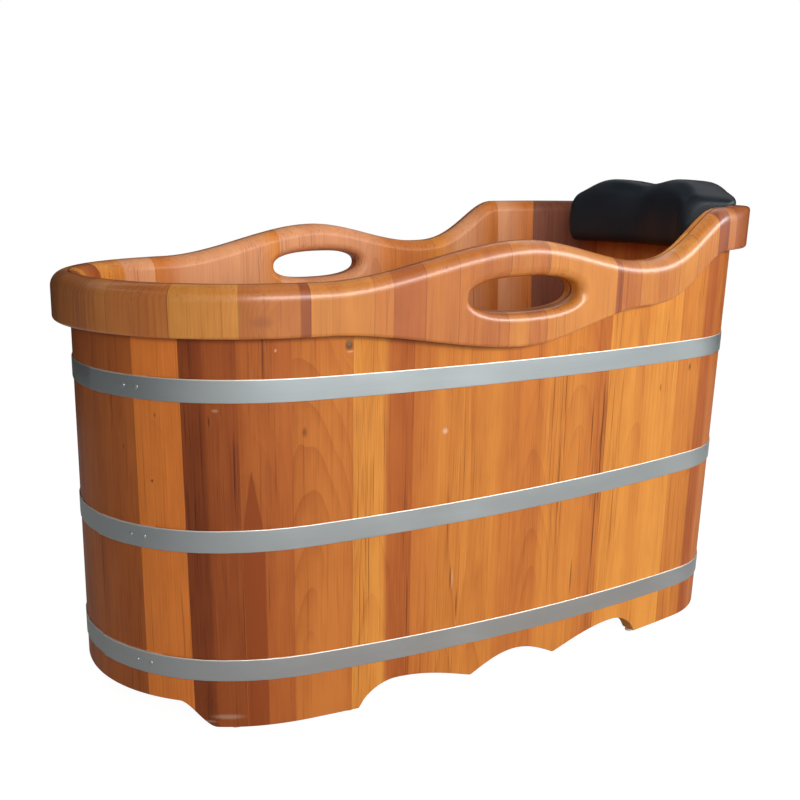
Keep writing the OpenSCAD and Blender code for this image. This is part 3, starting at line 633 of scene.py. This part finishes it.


# What is to be seen on the boards, in metres from a board's middle and from the ground
# The pale chip colour also paints a highlight below the fifth near board's plug
DOT, CHIP_AND_GLINT, SCUFF = (0.06, 0.018, 0.010), (0.80, 0.50, 0.36), (0.62, 0.47, 0.33)
NEAR_WOODS = (
    dict(tones=(ORANGE, ORANGE), split=0.020, soft=0.03, figure=0.25, streaks=0.6,
         marks=((0.022, 0.410, 0.002, 0.004, DOT, 0.6),)),
    dict(tones=(SORREL, SORREL), split=0.016, soft=0.03, figure=0.15, streaks=0.3,
         marks=((-0.002, 0.461, 0.0022, 0.004, DOT, 0.45), (-0.012, 0.367, 0.0024, 0.003, DOT, 0.85))),
    dict(tones=(RUSSET, COPPER), split=-0.005, soft=0.010, figure=0.3, streaks=1.0,
         marks=((0.0, 0.456, 0.0016, 0.010, DOT, 0.7), (0.009, 0.471, 0.006, 0.003, SCUFF, 0.35),
                (0.010, 0.020, 0.030, 0.005, SCUFF, 0.35), (-0.022, 0.012, 0.02, 0.003, SCUFF, 0.3))),
    dict(tones=(ORANGE, ORANGE), figure=0.2, streaks=0.6, flames=((-0.020, 0.290, 0.392, 0.016),),
         marks=((-0.002, 0.567, 0.0022, 0.003, DOT, 0.7), (0.015, 0.552, 0.002, 0.003, CHIP_AND_GLINT, 0.6))),
    dict(tones=(AMBER, AMBER), figure=0.65, streaks=0.3, lean=0.10, heart=(-0.027, 0.012),
         marks=((-0.027, 0.437, 0.0045, 0.009, DOT, 0.5), (0.037, 0.554, 0.0075, 0.009, DOT, 0.85),
                (0.037, 0.556, 0.0048, 0.006, (0.20, 0.17, 0.12), 0.69),
                # A painted highlight: the pale crescent under the plug
                (0.039, 0.545, 0.007, 0.002, CHIP_AND_GLINT, 0.5))),
    dict(tones=(GOLD, ORANGE), split=0.004, soft=0.014, figure=0.4, streaks=0.6),
    dict(tones=(AMBER, HONEY), split=-0.02, soft=0.03, figure=0.6, streaks=0.4,
         marks=((-0.004, 0.417, 0.006, 0.006, CHIP_AND_GLINT, 0.69), (0.012, 0.185, 0.0018, 0.028, DOT, 0.68),
                (0.024, 0.140, 0.0018, 0.030, DOT, 0.68), (0.0155, 0.182, 0.0012, 0.020, CHIP_AND_GLINT, 0.6))),
    dict(tones=(HONEY, AMBER), split=0.02, soft=0.03, figure=0.6, streaks=0.5),
    dict(tones=(AMBER, HONEY), split=-0.004, soft=0.02, figure=0.6, streaks=0.6),
    dict(tones=(HONEY, AMBER), split=0.0, soft=0.03, figure=0.4, streaks=0.9,
         marks=((0.020, 0.390, 0.0016, 0.070, DOT, 0.65), (0.026, 0.300, 0.0014, 0.055, DOT, 0.6),
                (-0.006, 0.140, 0.0018, 0.040, DOT, 0.65))),
    dict(tones=(GOLD, HONEY), split=0.02, figure=0.5, streaks=0.35),
    dict(tones=(GOLD, GOLD), figure=0.5, streaks=0.3, marks=((0.0, 0.436, 0.0025, 0.009, DOT, 0.5),)),
    dict(tones=(HONEY, ORANGE), split=0.024, soft=0.010, figure=0.5, streaks=0.4,
         marks=((-0.005, 0.463, 0.004, 0.008, DOT, 0.71),)),
    dict(tones=(ORANGE, AMBER), split=-0.022, soft=0.010, streaks=0.4),
    dict(tones=(AMBER, ORANGE), streaks=0.3),
    dict(tones=(AMBER, COPPER), streaks=0.5),
    dict(tones=(ORANGE, AMBER), streaks=0.3))
# The far boards' tones, first towards the foot end, then towards the head end
FAR_WOODS = (
    (COPPER, GOLD), (ORANGE, COPPER), (GOLD, HONEY), (BLUSH, BLUSH), (AMBER, BLUSH), (BLUSH, BLUSH),
    (BLUSH, HONEY), (BLUSH, BLUSH), (BLUSH, BLUSH), (BLUSH, AMBER), (AMBER, HONEY), (HONEY, BLUSH),
    (BLUSH, AMBER), (BLUSH, AMBER), (PLUM, PLUM), (PLUM, COPPER), (ORANGE, AMBER))

edges = [share * HALF_RUN for share in STAVE_SHARES]
material = wood("wood_foot_end", 1, (ORANGE, ORANGE), streaks=0.6)
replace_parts(stave("stave_foot_end", -edges[0], edges[0], material), "stave_foot")
material = wood("wood_head_end", 2, (AMBER, ORANGE))
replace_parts(stave("stave_head_end", edges[-1], 2 * HALF_RUN - edges[-1], material), "stave_head")
for i, (near, far) in enumerate(zip(NEAR_WOODS, FAR_WOODS)):
    number = f"{i + 1:02d}"
    material = wood(f"wood_near_{number}", 20 + i, **near)
    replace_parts(stave(f"near_stave_{number}", edges[i], edges[i + 1], material), f"stave_near_{number}")
    material = wood(f"wood_far_{number}", 60 + i, far[::-1], soft=0.06, figure=0.45, streaks=0.35)
    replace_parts(stave(f"far_stave_{number}", -edges[i + 1], -edges[i], material), f"stave_far_{number}")

# Rim.
# A band of short upright blocks glued round the outside of the staves' tops, 26 mm thick.
# It is rounded over with them to a broad handrail, and sawn below to follow the hand holes.

BAND_EDGE_R = 0.005
NARROW_X, NARROW_L = 0.402, 0.085


def narrow_top(board):
    """Draws the rounded top edge in to a small radius where the rim reaches the head end."""
    for v in board.data.vertices:
        x = along(v.co.x)[0]
        part = blend(TOP_R, HEAD_TOP_R, (x - NARROW_X) / NARROW_L) / TOP_R
        below, inward = rim_top(x) - v.co.z, BAND_T - v.co.y
        if below < TOP_R + 1e-5 and inward < TOP_R + 1e-5:
            v.co.y, v.co.z = BAND_T - inward * part, rim_top(x) - below * part


def rim_piece(name, s_from, s_to, material):
    """The band from s_from to s_to round the oval, with the hand hole that lies in it."""
    board = flat_board(name, s_from + SEAM, s_to - SEAM, BAND_GAP, BAND_T, round((s_to - s_from) / 0.005))
    for v in board.data.vertices:
        x = along(v.co.x)[0]
        v.co.z = rim_low(x) if v.co.z < 0.5 else rim_top(x)
    bpy.ops.object.mode_set(mode="EDIT")
    select_edges(board, lambda a, b: lengthwise(a, b) and min(a.y, b.y) > 0.02
                 and a.z > rim_top(along(a.x)[0]) - 0.001)
    round_over(TOP_R, 10)
    select_edges(board, lambda a, b: lengthwise(a, b) and min(a.y, b.y) > 0.02
                 and a.z < rim_low(along(a.x)[0]) + 0.001 and b.z < rim_low(along(b.x)[0]) + 0.001)
    round_over(BAND_EDGE_R, 4)
    bpy.ops.object.mode_set(mode="OBJECT")
    narrow_top(board)
    for side in (1, -1):
        if s_from < side * HOLE_S < s_to:
            cut_hand_hole(board, side)
    put_round_tub(board)
    soften(board)
    dress(board, material)
    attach(board, "tub")
    return board


RIM_FOOT, RIM_HEAD = 0.145 * HALF_RUN, 0.825 * HALF_RUN


def rim_wood(name, seed, s_from, s_to, blocks, marks=(), figure=0.5):
    """The glued-up wood of a rim piece, its blocks given by where they start round the oval."""
    length = s_to - s_from
    shares = [(max(0.0, (at - s_from) / length), tone) for at, tone in blocks]
    return wood(name, seed, None, figure=figure, streaks=0.3, marks=marks, blocks=shares, length=length,
                coat=1.0, coat_roughness=0.27)


FOOT_BLOCKS = (
    (-0.300, AMBER), (-0.150, HONEY), (-0.080, AMBER), (-0.020, AMBER), (0.078, HONEY), (0.122, AMBER),
    (0.212, GOLD))
NEAR_BLOCKS = (
    (0.200, ORANGE), (0.213, GOLD), (0.302, AMBER), (0.375, COPPER), (0.387, HONEY), (0.474, AMBER),
    (0.502, ORANGE), (0.548, AMBER), (0.602, AMBER), (0.683, HONEY), (0.721, AMBER), (0.751, HONEY),
    (0.768, HONEY), (0.883, COPPER), (0.896, AMBER), (0.934, HONEY), (1.023, GOLD), (1.064, HONEY),
    (1.112, COPPER), (1.137, AMBER), (1.158, ORANGE))
FAR_BLOCKS = (
    (-1.300, AMBER), (-1.120, ORANGE), (-1.010, AMBER), (-0.905, ORANGE), (-0.770, AMBER), (-0.655, HONEY),
    (-0.520, AMBER), (-0.395, ORANGE), (-0.290, HONEY))
HEAD_BLOCKS = (
    (1.200, ORANGE), (1.245, AMBER), (1.330, HONEY), (1.450, ORANGE), (1.560, AMBER), (1.680, HONEY))
NEAR_MIDDLE = (RIM_FOOT + RIM_HEAD) / 2
NEAR_MARKS = (
    (0.330 - NEAR_MIDDLE, 0.594, 0.017, 0.010, (0.24, 0.072, 0.024), 0.35),
    (1.088 - NEAR_MIDDLE, 0.605, 0.005, 0.012, DOT, 0.6))

material = rim_wood("wood_rim_foot", 101, -RIM_FOOT, RIM_FOOT, FOOT_BLOCKS, figure=0.9)
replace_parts(rim_piece("rim_band_foot", -RIM_FOOT, RIM_FOOT, material), "rim_foot")
material = rim_wood("wood_rim_near", 102, RIM_FOOT, RIM_HEAD, NEAR_BLOCKS, NEAR_MARKS)
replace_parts(rim_piece("rim_band_near", RIM_FOOT, RIM_HEAD, material), "rim_near")
material = rim_wood("wood_rim_far", 103, -RIM_HEAD, -RIM_FOOT, FAR_BLOCKS)
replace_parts(rim_piece("rim_band_far", -RIM_HEAD, -RIM_FOOT, material), "rim_far")
material = rim_wood("wood_rim_head", 104, RIM_HEAD, 2 * HALF_RUN - RIM_HEAD, HEAD_BLOCKS)
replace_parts(rim_piece("rim_band_head", RIM_HEAD, 2 * HALF_RUN - RIM_HEAD, material), "rim_head")

# Hoops.
# Three flat strips of satin steel, 32.5 by 1.5 mm, driven down over the staves.
# Their ends lap near the foot end's corner and are held by two rivets.

HOOP_H, HOOP_T, HOOP_EDGE_R = 0.0325, 0.0015, 0.0007
LAP_L, LAP_S, LAP_GAP = 0.120, 0.045, 0.0002
TUB_L = 1.130
# Each hoop's name, the height of its lower edge at the middle and its rise along the tub
HOOPS = (("low", 0.0695, -0.017), ("middle", 0.275, 0.014), ("high", 0.4795, -0.005))


def hoop_edge(z, rise, s):
    """Height of a hoop's lower edge at a place round the oval."""
    return z + rise * along(s)[0] / TUB_L


steel = Finish("hoop_steel")
place = steel.node("ShaderNodeAttribute", {"attribute_name": "board"}, None, "Vector")
brushed, smudge = (steel.node("ShaderNodeTexNoise", None, {
    "Vector": steel.node("ShaderNodeVectorMath", {"operation": "MULTIPLY"}, {0: place, 1: stretch}),
    "Scale": 1.0, "Detail": 3.0}, "Fac") for stretch in ((8, 1, 1400), (9, 1, 30)))
steel_colour = steel.node("ShaderNodeMix", {"data_type": "RGBA"}, {
    0: brushed * 0.6 + smudge * 0.4, 6: (0.42, 0.455, 0.46), 7: (0.57, 0.60, 0.60)}, 2)
# A painted highlight: the strip's top edge is painted a bright cream
height = Value(steel, steel.node("ShaderNodeSeparateXYZ", None, {0: place}).socket.node.outputs[2])
painted_edge_highlight = steel.node("ShaderNodeMapRange", {"interpolation_type": "SMOOTHSTEP"}, {
    "Value": height, "From Min": HOOP_H - 0.0020, "From Max": HOOP_H - 0.0009})
steel_colour = steel.node("ShaderNodeMix", {"data_type": "RGBA"}, {
    0: painted_edge_highlight, 6: steel_colour, 7: (0.98, 0.93, 0.85)}, 2)
scratches = steel.node("ShaderNodeBump", None, {
    "Strength": 0.08, "Distance": 0.0002, "Height": brushed}, "Normal")
steel.set(Base_Color=steel_colour, Metallic=1.0, Normal=scratches,
          Roughness=0.40 + (smudge - 0.5) * 0.16 + (brushed - 0.5) * 0.12)


def hoop(name, z, rise):
    """A flat strip that is laid once round the tub and on over its own start."""
    full = 2 * HALF_RUN
    strip = flat_board(name, 0.0, full + LAP_L, 0.0, HOOP_T, 460)
    bpy.ops.object.mode_set(mode="EDIT")
    # The long edges stay selected until they are rounded
    select_edges(strip, lengthwise)
    bpy.ops.object.mode_set(mode="OBJECT")
    for v in strip.data.vertices:
        v.co.z *= HOOP_H
    bpy.ops.object.mode_set(mode="EDIT")
    round_over(HOOP_EDGE_R, 3)
    bpy.ops.object.mode_set(mode="OBJECT")
    grain = strip.data.attributes.new("board", "FLOAT_VECTOR", "POINT")
    for v in strip.data.vertices:
        grain.data[v.index].vector = v.co.copy()
    start = LAP_S + LAP_L
    for v in strip.data.vertices:
        u = v.co.x
        s = start - u + (full if start - u < -HALF_RUN else 0.0)
        lift = (HOOP_T + LAP_GAP) * min(1.0, max(0.0, (u - full + LAP_L) / (LAP_L / 2)))
        v.co = wall(s, hoop_edge(z, rise, s) + v.co.z, BAND_GAP + lift + v.co.y)
    bpy.ops.object.mode_set(mode="EDIT")
    bpy.ops.mesh.select_all(action="SELECT")
    bpy.ops.mesh.normals_make_consistent(inside=False)
    bpy.ops.object.mode_set(mode="OBJECT")
    soften(strip)
    dress(strip, steel.material)
    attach(strip, "tub")
    return strip


for name, z, rise in HOOPS:
    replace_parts(hoop(f"hoop_strip_{name}", z, rise), f"hoop_{name}")

# Hoop rivets.
# Two round-headed steel rivets through each hoop's lap. Their heads are hammered to low domes
# and their thin shanks end at the wood.

RIVET_S, RIVET_PITCH = 0.134, 0.024
RIVET_HEAD, RIVET_DOME, RIVET_SHANK = 0.0065, 0.0006, 0.005


def rivet(z, rise, s):
    """A dome on a shank, made from a sphere whose lower half is drawn in."""
    bpy.ops.object.select_all(action="DESELECT")
    bpy.ops.mesh.primitive_uv_sphere_add(segments=32, ring_count=16, radius=1.0)
    head = bpy.context.active_object
    seat = wall(s, hoop_edge(z, rise, s) + HOOP_H / 2, BAND_GAP)
    outward = (wall(s, hoop_edge(z, rise, s) + HOOP_H / 2, BAND_GAP + 1.0) - seat).normalized()
    turn = outward.to_track_quat("Z", "Y")
    for v in head.data.vertices:
        level = 2 * HOOP_T + 2 * LAP_GAP + RIVET_DOME * v.co.z if v.co.z > -1e-4 else 0.0
        wide = RIVET_HEAD / 2 if v.co.z > -1e-4 else RIVET_SHANK / 2
        v.co = seat + turn @ Vector((v.co.x * wide, v.co.y * wide, level))
    return head


heads = [rivet(z, rise, RIVET_S + side * RIVET_PITCH / 2) for _, z, rise in HOOPS for side in (-1, 1)]
bpy.ops.object.select_all(action="DESELECT")
for head in heads:
    head.select_set(True)
bpy.context.view_layer.objects.active = heads[0]
bpy.ops.object.join()
rivets = bpy.context.active_object
rivets.name = "rivet_heads"
soften(rivets, 50.0)
dress(rivets, steel.material)
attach(rivets, "tub")
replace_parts(rivets, "hoop_rivets")

# Floor.
# Five boards of varnished softwood laid along the tub, their ends in the staves' groove.
# They lie on two battens that are screwed to them from below.


def floor_wood(node, seed, tones, side=1):
    """A varnished board seen flat, its grain along the tub, or across it where side is 0.
    Its long edges are dark."""
    made = Finish("wood_" + node)
    low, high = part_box(node)
    place = made.node("ShaderNodeTexCoord", None, None, "Object")
    split = made.node("ShaderNodeSeparateXYZ", None, {0: place})
    across = Value(made, split.socket.node.outputs[side])

    def noise(run, width, detail):
        stretch = (run, width, width) if side else (width, run, width)
        shift = (seed * 3.1, seed * 1.7, 0.0)
        moved = made.node("ShaderNodeVectorMath", {"operation": "ADD"}, {0: place, 1: shift})
        return made.node("ShaderNodeTexNoise", None, {
            "Vector": made.node("ShaderNodeVectorMath", {"operation": "MULTIPLY"}, {0: moved, 1: stretch}),
            "Scale": 1.0, "Detail": detail}, "Fac")

    fibre = noise(6, 700, 2.0) - 0.5
    wander = noise(1.6, 9, 2.0) - 0.5
    ring = made.node("ShaderNodeMath", {"operation": "FRACT"}, {0: (across + wander * 0.09) * 62})
    edge = made.node("ShaderNodeMath", {"operation": "MINIMUM"}, {
        0: across - low[side], 1: high[side] - across})
    depth = ring ** 2.2 * 0.55 + (noise(1.4, 26, 3.0) - 0.5) * 0.9 + fibre * 0.6 + 0.25
    colour = made.node("ShaderNodeMix", {"data_type": "RGBA"}, {
        0: made.node("ShaderNodeClamp", None, {"Value": depth}), 6: tones[0], 7: tones[1]}, 2)
    dark = made.node("ShaderNodeMapRange", {"interpolation_type": "SMOOTHSTEP"}, {
        "Value": edge, "From Min": 0.0004, "From Max": 0.0028, "To Min": 0.85, "To Max": 0.0})
    colour = made.node("ShaderNodeMix", {"data_type": "RGBA"}, {0: dark, 6: colour, 7: DARK_VEIN_AND_SHADE}, 2)
    made.set(Base_Color=colour, Roughness=0.42 + fibre * 0.12, Coat_Weight=0.3, Coat_Roughness=0.25)
    dress(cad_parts[node], made.material)


for i, tones in enumerate((AMBER, HONEY, ORANGE, HONEY, AMBER), 1):
    floor_wood(f"floor_board_{i}", i, tones)
floor_wood("batten_foot", 6, AMBER, side=0)
floor_wood("batten_head", 7, ORANGE, side=0)
dress(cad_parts["floor_screws"], steel.material)

# Drain.
# A polished flange with a pop-up plug, its tail clamped through the floor by a gasket and a locknut.
# The gasket and the plug's seal are black rubber, and so are the headrest's cups.

chrome = Finish("drain_chrome")
place = chrome.node("ShaderNodeTexCoord", None, None, "Object")
spots = chrome.node("ShaderNodeTexNoise", None, {"Vector": place, "Scale": 60.0, "Detail": 3.0}, "Fac")
chrome.set(Base_Color=(0.78, 0.79, 0.80), Metallic=1.0, Roughness=0.08 + spots * 0.08)
for node in ("drain_body", "drain_nut", "drain_plug"):
    dress(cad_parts[node], chrome.material)
rubber = Finish("drain_rubber")
place = rubber.node("ShaderNodeTexCoord", None, None, "Object")
dust = rubber.node("ShaderNodeTexNoise", None, {"Vector": place, "Scale": 300.0, "Detail": 2.0}, "Fac")
rubber.set(Base_Color=(0.025, 0.025, 0.026), Roughness=0.6 + dust * 0.2)
for node in ("drain_gasket", "plug_seal", "headrest_cups"):
    dress(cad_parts[node], rubber.material)

# Headrest.
# A moulded foam cushion in black leather-cloth, with two crowns and a hollow for the neck between them.
# It rests over the rim and is held to the inside of the wall by suction cups.

REST_W, REST_Y, REST_Z, CROWN_Y = 0.404, 0.040, 0.650, 0.088
CROWN_H, DIP_H, END_H = 0.046, 0.037, 0.0165
REST_T, NECK_D, REST_LIP, REST_GAP, REST_R = 0.062, 0.009, 0.034, 0.0004, 0.024
# The cups stand proud of the cushion's back by this less the gap
BACK_GAP = 0.0020


def share_of(x, a, b):
    """How far x is on the way from a to b, from 0 to 1."""
    return min(1.0, max(0.0, (x - a) / (b - a)))


def rest_section(y):
    """The cushion's outline at a place across the tub, as (distance behind the wall's inner face, z)."""
    d, half = abs(y), REST_W / 2
    drawn = 1 - math.sqrt(max(0.0, 1 - share_of(d, half - REST_R, half) ** 2))
    top = HEAD_H + (blend(DIP_H, CROWN_H, d / CROWN_Y) if d < CROWN_Y
                    else blend(CROWN_H, END_H, share_of(d, CROWN_Y, half) ** 1.3)) - REST_R * 0.6 * drawn
    low = REST_Z + REST_R * 0.6 * drawn
    front = REST_T - NECK_D * (1 - blend(0, 1, d / CROWN_Y)) - REST_R * 0.8 * drawn
    lip = REST_LIP - REST_R * 0.8 * drawn
    seat = HEAD_H + REST_GAP
    round_z = min(REST_R, (top - seat) * 0.8)
    points = []

    def arc(off, z, rx, rz, first, last, count):
        for i in range(count + 1):
            t = math.radians(first + (last - first) * i / count)
            points.append((off + rx * math.cos(t), z + rz * math.sin(t)))

    arc(-BACK_GAP - REST_R * 0.4, low + REST_R * 0.4, REST_R * 0.4, REST_R * 0.4, 0, -90, 4)
    arc(REST_R - front, low + REST_R, REST_R, REST_R, -90, -180, 6)
    points.append((-front - REST_R * 0.12, (low + top) / 2))
    arc(REST_R * 1.2 - front, top - REST_R * 1.4, REST_R * 1.2, REST_R * 1.4, 180, 90, 8)
    arc(lip - round_z, top - round_z, round_z, round_z * 0.9, 75, 0, 6)
    points.append((lip, seat + REST_GAP))
    points.append((lip - REST_GAP, seat))
    arc(TOP_R, HEAD_H - TOP_R, TOP_R + REST_GAP, TOP_R + REST_GAP, 90, 180, 6)
    points.append((-BACK_GAP, HEAD_H - TOP_R - 0.004))
    return points


SECTION = len(rest_section(0.0))
STATIONS = 60
bpy.ops.object.select_all(action="DESELECT")
bpy.ops.mesh.primitive_cylinder_add(vertices=SECTION, radius=1.0, depth=1.0, end_fill_type="TRIFAN")
cushion = bpy.context.active_object
cushion.name = "headrest_cushion"
bpy.ops.object.mode_set(mode="EDIT")
select_edges(cushion, lambda a, b: abs(a.z - b.z) > 0.5)
bpy.ops.mesh.subdivide(number_cuts=STATIONS - 1)
bpy.ops.object.mode_set(mode="OBJECT")
for v in cushion.data.vertices:
    y = -REST_W / 2 * math.cos(math.pi * round((v.co.z + 0.5) * STATIONS) / STATIONS)
    ring = rest_section(y)
    if math.hypot(v.co.x, v.co.y) > 0.5:
        off, z = ring[round(math.atan2(v.co.x, v.co.y) / (2 * math.pi) * SECTION) % SECTION]
    else:
        off, z = (sum(p[k] for p in ring) / SECTION for k in (0, 1))
    v.co = wall(HALF_RUN + y - REST_Y, z, off - STAVE_T)
bpy.ops.object.mode_set(mode="EDIT")
bpy.ops.mesh.select_all(action="SELECT")
bpy.ops.mesh.normals_make_consistent(inside=False)
bpy.ops.object.mode_set(mode="OBJECT")
rounder = cushion.modifiers.new("round", "SUBSURF")
rounder.levels = rounder.render_levels = 1
bpy.ops.object.modifier_apply(modifier=rounder.name)
bpy.ops.object.shade_smooth()
leather = Finish("headrest_black")
place = leather.node("ShaderNodeTexCoord", None, None, "Object")
pebble = leather.node("ShaderNodeTexVoronoi", {"feature": "SMOOTH_F1"}, {
    "Vector": place, "Scale": 900.0}, "Distance")
soft = leather.node("ShaderNodeTexNoise", None, {"Vector": place, "Scale": 14.0, "Detail": 3.0}, "Fac")
black = leather.node("ShaderNodeMix", {"data_type": "RGBA"}, {
    0: soft, 6: (0.004, 0.0070, 0.0105), 7: (0.008, 0.011, 0.0155)}, 2)
skin = leather.node("ShaderNodeBump", None, {
    "Strength": 0.15, "Distance": 0.0003, "Height": pebble}, "Normal")
leather.set(Base_Color=black, Roughness=0.45 + (soft - 0.5) * 0.12, Specular_IOR_Level=0.32, Normal=skin)
dress(cushion, leather.material)
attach(cushion, "headrest")
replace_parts(cushion, "headrest")

# Glides.
# Small milky plastic pads nailed under the feet, two under each.
# They keep the staves' end grain off the wet floor.

milky = Finish("glide_milky")
place = milky.node("ShaderNodeTexCoord", None, None, "Object")
cloudy = milky.node("ShaderNodeTexNoise", None, {"Vector": place, "Scale": 120.0, "Detail": 2.0}, "Fac")
haze = milky.node("ShaderNodeMix", {"data_type": "RGBA"}, {
    0: cloudy, 6: (0.70, 0.71, 0.68), 7: (0.86, 0.87, 0.84)}, 2)
milky.set(Base_Color=haze, Roughness=0.35 + cloudy * 0.1)
dress(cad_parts["glides"], milky.material)
